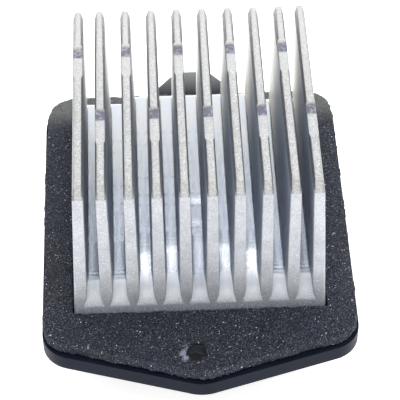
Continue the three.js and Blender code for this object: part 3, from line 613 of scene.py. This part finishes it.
def floor_height(trough, y):
    """Floor of a trough (0 to 8) at distance y along the casting."""
    from_centre = abs(trough - CENTRE_TROUGH)
    level = CENTRE_FLOOR if from_centre in RAMP_STARTS else OUTER_FLOOR
    steps = TERRACES if from_centre == 0 else ()
    ramp_top = level - sum(drop for _, _, drop in steps)
    start = RAMP_STARTS.get(from_centre, OUTER_RAMP_START)
    end = -half_length(OUTER_FLOOR)
    run = np.clip(start - y, 0, None)
    run = np.where(run < RAMP_ROUND, run ** 2 / (2 * RAMP_ROUND), run - RAMP_ROUND / 2)
    share = np.clip(run / (start - end - RAMP_ROUND / 2), 0, 1)
    height = ramp_top - (ramp_top - RAMP_EXIT) * (share + RAMP_BULGE * np.sin(math.pi * share))
    for low, high, drop in steps:
        height = height + drop * smooth(y, low, high)
    height = height - round_over(y - end, EXIT_LENGTH) * EXIT_DROP / EXIT_LENGTH
    height = height - round_over(half_length(level) - y, FAR_ROUND)
    wave = np.sin((y - start) * 2 * math.pi / RIDGE_SPACING)
    ridges = smooth(y, start - RIDGE_START, start)
    ridges = ridges * (1 - smooth(y, start + RIDGE_END[0], start + RIDGE_END[1]))
    return height + RIDGE * wave * ridges


def exit_polish(y):
    """Smooth inside the troughs, blasted again towards the exits of the ramps; it also paints light into
    the floors.
    """
    return EXIT_DULL * smooth(y, *EXIT_DULL_FADE) + (1 - EXIT_DULL) * smooth(y, *EXIT_SHINE_FADE)


def pad_of(fin):
    return ODD_PAD if fin % 2 == 0 else EVEN_PAD


def on_pad(fin, y):
    low, _, high = pad_of(fin)
    return smooth(y, low - PAD_STEP, low) * (1 - smooth(y, high, high + PAD_STEP))


def scorched(fin, y):
    """The sunken, darker far part of an ejector pad."""
    _, middle, high = pad_of(fin)
    started = smooth(y, middle + DARK_PART_START[0], middle + DARK_PART_START[1])
    return started * (1 - smooth(y, high + DARK_PART_END[0], high + DARK_PART_END[1]))


def fin_top(fin, y):
    """Half widths and heights of a fin's top: land half, land z, shoulder half, shoulder z."""
    raised = on_pad(fin, y)
    sunk = PAD_SINK * scorched(fin, y)
    plain = LAND_HALF - LAND_TAPER * smooth(y, *LAND_TAPER_FADE)
    land_half = plain + (PAD_HALF - PAD_ROUND - plain) * raised
    land_z = FIN_HEIGHT - LAND_BELOW_PAD + LAND_BELOW_PAD * raised - sunk
    shoulder_half = BODY_HALF + (PAD_HALF - BODY_HALF) * raised
    shoulder_z = SHOULDER + (FIN_HEIGHT - PAD_EDGE_DROP - SHOULDER) * raised - sunk
    return land_half, land_z, shoulder_half, shoulder_z


def side_half(z, ahead, inner=True):
    """Half thickness of a fin at height z and distance ahead of its near end."""
    half = ROOT_HALF + (BODY_HALF - ROOT_HALF) * np.clip(np.asarray(z) / SHOULDER, 0, 1)
    half = half - round_over(ahead, EDGE_ROUND)
    if not inner:
        return half
    depth = np.clip((NOSE_TOP - z) / NOSE_DEPTH, 0, NOSE_LIMIT)
    nose = np.sqrt(1 - depth ** 2)
    near_end = 1 - smooth(ahead, 0, NOSE_REACH)
    return half * (1 - near_end * (1 - nose))


def lean_of(fin, z):
    """The two outermost fins lean inwards."""
    if fin not in (0, FIN_COUNT - 1):
        return 0 * np.asarray(z, float)
    return (1 if fin == 0 else -1) * FIN_LEAN * np.asarray(z, float) / FIN_HEIGHT


def fin_centre(fin):
    return (fin - (FIN_COUNT - 1) / 2) * FIN_PITCH


def stations():
    """Positions along the casting, in half lengths from -1 to 1, closer where the shape turns."""
    end = FOOT_HALF_LENGTH
    y = list(np.arange(*COARSE_SPAN, COARSE_STEP))
    y += list(np.arange(-end + NEAR_END_MARGIN, NEAR_FINE_TO, FINE_STEP))
    y += list(np.arange(FAR_FINE_FROM, end, FINE_STEP))
    for inset in END_INSETS:
        y += [-end + inset, end - inset]
    chamfer_end = -half_length(SHOULDER) + CHAMFER
    turns = [(chamfer_end - CHAMFER_TURN, chamfer_end + CHAMFER_TURN)]
    for low, middle, high in (ODD_PAD, EVEN_PAD):
        turns += [(low - PAD_STEP, low), (high, high + PAD_STEP)]
        turns += [(middle + DARK_PART_START[0], middle + DARK_PART_START[1])]
        turns += [(high + DARK_PART_END[0], high + DARK_PART_END[1])]
    for turn in turns:
        y += list(np.linspace(*turn, 3))
    for low, high, _ in TERRACES:
        y += list(np.linspace(low, high, TERRACE_POINTS))
    shares = sorted(set(np.round(np.array(y) / end, 4)))
    return np.array([-1.0, *(share for share in shares if abs(share) < LAST_STATION), 1.0])


class Columns:
    """Lines of points along the casting; side by side they make its skin."""

    def __init__(self):
        self.stations = stations()
        self.points, self.polish, self.scorch, self.side = [], [], [], []

    def spread(self, value):
        return np.broadcast_to(value, self.stations.shape).astype(float)

    def add(self, x, z, polish=0.0, dark_share=0.0, side=0.0):
        x, z = self.spread(x), np.minimum(self.spread(z), FIN_HEIGHT)
        body_z = np.minimum(z, SHOULDER)
        y = self.stations * half_length(body_z)
        y = y + FAR_TIP_EXTRA * smooth(y, *FAR_TIP_FADE) * smooth(z, FAR_TIP_FOOT, SHOULDER)
        rise = (FIN_HEIGHT - SHOULDER) / CHAMFER
        chamfer = SHOULDER + (y + half_length(SHOULDER)) * rise
        z = np.minimum(z, np.maximum(chamfer, body_z))
        far = half_length(SHOULDER) + FAR_TIP_EXTRA - y
        z = z - np.where(z > SHOULDER, np.minimum(round_over(far, FAR_TIP_ROUND), z - SHOULDER), 0)
        ends = np.abs(self.stations) < 1
        self.points.append(np.stack([x, y, z], axis=1))
        self.polish.append(self.spread(polish) * ends)
        self.scorch.append(self.spread(dark_share) * ends)
        self.side.append(self.spread(side) * ends)

    def ahead(self, z):
        return (self.stations + 1) * half_length(z)


def inner_side(grid, fin, side, trough):
    """Points from a trough floor up the side of a fin to its shoulder, as (x, z, polish, side)."""
    y = grid.stations * half_length(OUTER_FLOOR)
    floor = floor_height(trough, y)
    fillet = FILLET * (EXIT_FILLET + (1 - EXIT_FILLET) * smooth(y, *FILLET_FADE))
    foot = floor + fillet
    wall = side_half(foot, grid.ahead(foot))
    points = []
    for angle in np.linspace(0, math.pi / 2, FILLET_POINTS):
        z = floor + fillet * (1 - math.cos(angle))
        x = wall + fillet * (1 - math.sin(angle))
        points.append((fin_centre(fin) + side * x + lean_of(fin, z), z, exit_polish(y), 0.0))
    for share in SIDE_SHARES:
        z = foot + (SHOULDER - foot) * share
        x = side_half(z, grid.ahead(z))
        points.append((fin_centre(fin) + side * x + lean_of(fin, z), z, 0.0, exit_polish(y)))
    return points


def outer_side(grid, fin, side):
    """Points from the casting's bottom up its outer face to the shoulder, as (x, z, polish, side)."""
    points = []
    for z in OUTER_HEIGHTS:
        corner = round_over(grid.ahead(z), CORNER_ROUND) * (1 - smooth(z, *OUTER_CORNER_FADE))
        x = side_half(max(z, 0), grid.ahead(z), False) - corner
        points.append((fin_centre(fin) + side * x + lean_of(fin, z), grid.spread(z), 0.0, 0.0))
    return points


def crown(grid, fin, side):
    """Points from the shoulder of a fin to the edge of its land, as (x, z)."""
    y = grid.stations * half_length(SHOULDER)
    land_half, land_z, shoulder_half, shoulder_z = fin_top(fin, y)
    bevel = round_over(grid.ahead(SHOULDER), EDGE_ROUND)
    width = land_half + LAND_ROUND - shoulder_half
    height = land_z - LAND_ROUND - SHOULDER_RISE - shoulder_z
    points = []
    for across, up in CROWN_SHARES:
        half = shoulder_half + width * across - bevel
        z = shoulder_z + SHOULDER_RISE + height * up
        points.append((fin_centre(fin) + side * half + lean_of(fin, z), z))
    edge = land_half - LAND_INSET - bevel
    points.append((fin_centre(fin) + side * edge + lean_of(fin, land_z), land_z))
    return points


def build_casting():
    """The points of the casting's skin and the marks on them, column by column from left to right."""
    grid = Columns()
    last = FIN_COUNT - 1
    for fin in range(FIN_COUNT):
        y = grid.stations * half_length(SHOULDER)
        dark_share = scorched(fin, y)
        pad_near_part = PAD_POLISH_AND_SHEEN * on_pad(fin, y) * (1 - dark_share)
        left = outer_side(grid, fin, -1) if fin == 0 else inner_side(grid, fin, -1, fin - 1)
        right = outer_side(grid, fin, 1) if fin == last else inner_side(grid, fin, 1, fin)
        for x, z, polish, side in left:
            grid.add(x, z, polish, side=side)
        for (x, z), edge_shade in zip(crown(grid, fin, -1), SHOULDER_SHADE):
            grid.add(x, z, pad_near_part, np.maximum(dark_share, edge_shade))
        middle = fin_centre(fin) + lean_of(fin, FIN_HEIGHT)
        grid.add(middle, fin_top(fin, y)[1] + LAND_CROWN, pad_near_part, dark_share)
        for (x, z), edge_shade in reversed(list(zip(crown(grid, fin, 1), SHOULDER_SHADE))):
            grid.add(x, z, pad_near_part, np.maximum(dark_share, edge_shade))
        for x, z, polish, side in reversed(right):
            grid.add(x, z, polish, side=side)
        if fin < last:
            y = grid.stations * half_length(OUTER_FLOOR)
            grid.add(fin_centre(fin) + FIN_PITCH / 2, floor_height(fin, y), exit_polish(y))
    marks = {"polish": grid.polish, "scorched": grid.scorch, "side": grid.side}
    return np.array(grid.points), {name: np.array(values) for name, values in marks.items()}


def skin_faces(wide, count):
    """Faces between neighbouring columns all the way round, and one face at each end."""
    index = np.arange(wide * count).reshape(wide, count).tolist()
    faces = []
    for here, beside in zip(index, index[1:] + index[:1]):
        for j in range(count - 1):
            faces.append((here[j], here[j + 1], beside[j + 1], beside[j]))
    faces.append([column[0] for column in index])
    faces.append([column[-1] for column in reversed(index)])
    return faces


MERGE_WITHIN = 0.002
SHARP_FROM = 55  # degrees
NORMAL_WEIGHT = 90

PEDESTAL_LOW = (-21.5, -20.5)
PEDESTAL_HIGH = (21.5, 12.5)
PEDESTAL_OVERLAP = 0.5
PEDESTAL_BEVEL = 0.6


def add_pedestal(work):
    """The block under the casting that the power transistors are pressed against."""
    bottom = SINK_LOW[2]
    top = SEAL_FACE + CASTING_BOTTOM + PEDESTAL_OVERLAP
    low, high = (*PEDESTAL_LOW, bottom), (*PEDESTAL_HIGH, top)
    size = [b - a for a, b in zip(low, high)]
    middle = [(a + b) / 2 for a, b in zip(low, high)]
    shape = Matrix.Translation(Vector(middle) * MM) @ Matrix.Diagonal((*(s * MM for s in size), 1))
    made = bmesh.ops.create_cube(work, size=1, matrix=shape)
    edges = list({edge for vert in made["verts"] for edge in vert.link_edges})
    width = PEDESTAL_BEVEL * MM
    bmesh.ops.bevel(work, geom=edges, offset=width, segments=2, profile=0.5, affect="EDGES")


def casting_mesh():
    points, marks = build_casting()
    wide, count, _ = points.shape
    mesh = bpy.data.meshes.new("heat_sink_casting")
    world = points.reshape(-1, 3) * MM
    world[:, 2] += SEAL_FACE * MM
    mesh.from_pydata(world.tolist(), [], skin_faces(wide, count))
    for name, values in marks.items():
        mark_points(mesh, name, values.reshape(-1))
    work = bmesh.new()
    work.from_mesh(mesh)
    bmesh.ops.remove_doubles(work, verts=work.verts, dist=MERGE_WITHIN * MM)
    add_pedestal(work)
    bmesh.ops.recalc_face_normals(work, faces=work.faces)
    work.to_mesh(mesh)
    work.free()
    for polygon in mesh.polygons:
        polygon.use_smooth = True
    mesh.set_sharp_from_angle(angle=math.radians(SHARP_FROM))
    return mesh


def make_heat_sink():
    piece = new_piece("heat_sink_casting", casting_mesh(), "cast_aluminium", "heat_sink")
    weighted = piece.modifiers.new("normals", "WEIGHTED_NORMAL")
    weighted.keep_sharp = True
    weighted.weight = NORMAL_WEIGHT


make_heat_sink()


# ---- foam gasket ------------------------------------------------------------------------------
FOAM_GRAIN = 0.5  # spacing of the foam's mesh
SOFTEN_STEPS = 3
PUFF = 0.5  # broad swellings, stronger on the foam's edges than on its faces
PUFF_SCALE = 0.22
PUFF_ON_FACES = 0.35
RAGGED = 0.3
RAGGED_SCALE = 1.1
RAGGED_SHIFT = (7, 3, 1)  # keeps the two noises apart
FUZZ_TOP = 0.25  # the foam stands no higher than this above the seal face

HOLE_LIP = 27.2  # above this height the foam reaches in over the collar
HOLE_REACH = 4.4
LIP_PULL = 0.95
LIP_RUN = 1.2
LIP_RAGGED = 0.8
LIP_SCALE = 0.5

TORN_AT = (-2.7, -0.2)  # middle of the torn, whitish rim, from the hole's centre
TORN_SIZE = (1.2, 2.5)
TORN_EDGE = (0.7, 1.0)
TORN_RAGGED = 0.9
TORN_SCALE = 0.9


def foam_skin():
    """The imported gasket, cut finer and softened at its edges."""
    gasket = frame["nodes"]["foam_gasket"]
    source = bpy.data.objects.new("foam_source", gasket.data.copy())
    source.matrix_world = gasket.matrix_world.copy()
    bpy.context.collection.objects.link(source)
    remesh = source.modifiers.new("cells", "REMESH")
    remesh.mode = "VOXEL"
    remesh.voxel_size = FOAM_GRAIN * MM
    soften = source.modifiers.new("soften", "SMOOTH")
    soften.factor = 0.5
    soften.iterations = SOFTEN_STEPS
    view = bpy.context.evaluated_depsgraph_get()
    mesh = bpy.data.meshes.new_from_object(source.evaluated_get(view))
    mesh.transform(source.matrix_world)
    bpy.data.objects.remove(source)
    mesh.name = "foam_pad"
    return mesh


def roughen(points, normals):
    """Swells and frays the foam's points, and pulls a ragged lip in over the screw hole."""
    hole = np.array(FIXING_HOLE)
    shift = Vector(RAGGED_SHIFT)
    for point, normal in zip(points, normals):
        place = Vector(point)
        swell = PUFF_ON_FACES + (1 - PUFF_ON_FACES) * (1 - abs(normal[2]))
        puff = PUFF * noise.noise(place * PUFF_SCALE) * swell
        fray = RAGGED * noise.noise(place * RAGGED_SCALE + shift)
        point += normal * (puff + fray)
        across = point[:2] - hole
        reach = float(np.hypot(*across))
        if reach < HOLE_REACH and point[2] > HOLE_LIP:
            lip = LIP_PULL * smooth(HOLE_REACH - reach, 0, LIP_RUN)
            pull = lip * (1 + LIP_RAGGED * noise.noise(place * LIP_SCALE))
            point[:2] = hole + across * (reach - pull) / reach
    points[:, 2] = np.minimum(points[:, 2], SEAL_FACE + FUZZ_TOP)


def torn_share(points):
    """1 on the torn rim of the screw hole, 0 away from it."""
    across = (points[:, :2] - np.add(FIXING_HOLE, TORN_AT)) / TORN_SIZE
    ragged = np.array([noise.noise(Vector(point) * TORN_SCALE) for point in points])
    distance = np.hypot(across[:, 0], across[:, 1]) + TORN_RAGGED * ragged
    return 1 - smooth(distance, *TORN_EDGE)


def foam_mesh():
    mesh = foam_skin()
    points = np.empty(len(mesh.vertices) * 3)
    normals = np.empty(len(mesh.vertices) * 3)
    mesh.vertices.foreach_get("co", points)
    mesh.vertex_normals.foreach_get("vector", normals)
    points, normals = points.reshape(-1, 3) / MM, normals.reshape(-1, 3)
    roughen(points, normals)
    mark_points(mesh, "torn", torn_share(points))
    mesh.vertices.foreach_set("co", (points * MM).reshape(-1))
    mesh.materials.clear()
    for polygon in mesh.polygons:
        polygon.use_smooth = True
    return mesh


def make_foam():
    pad = new_piece("foam_pad", foam_mesh(), "open_cell_foam", "foam_gasket")


make_foam()


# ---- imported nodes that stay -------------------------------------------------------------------
BEVELS = {"flange_housing": 0.35, "rear_cover": 0.3}  # rounding of the moulded edges
BEVEL_FROM = 40  # degrees


def finish_cad_nodes():
    """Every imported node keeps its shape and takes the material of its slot."""
    for part in frame["record"]["subparts"]:
        node = frame["nodes"][part["node"]]
        node.data.materials.clear()
        node.data.materials.append(MATERIALS[part["material_slot"]])
        if part["node"] in BEVELS:
            bevel = node.modifiers.new("edges", "BEVEL")
            bevel.width = BEVELS[part["node"]] * MM
            bevel.segments = 2
            bevel.limit_method = "ANGLE"
            bevel.angle_limit = math.radians(BEVEL_FROM)
            bevel.harden_normals = True


finish_cad_nodes()
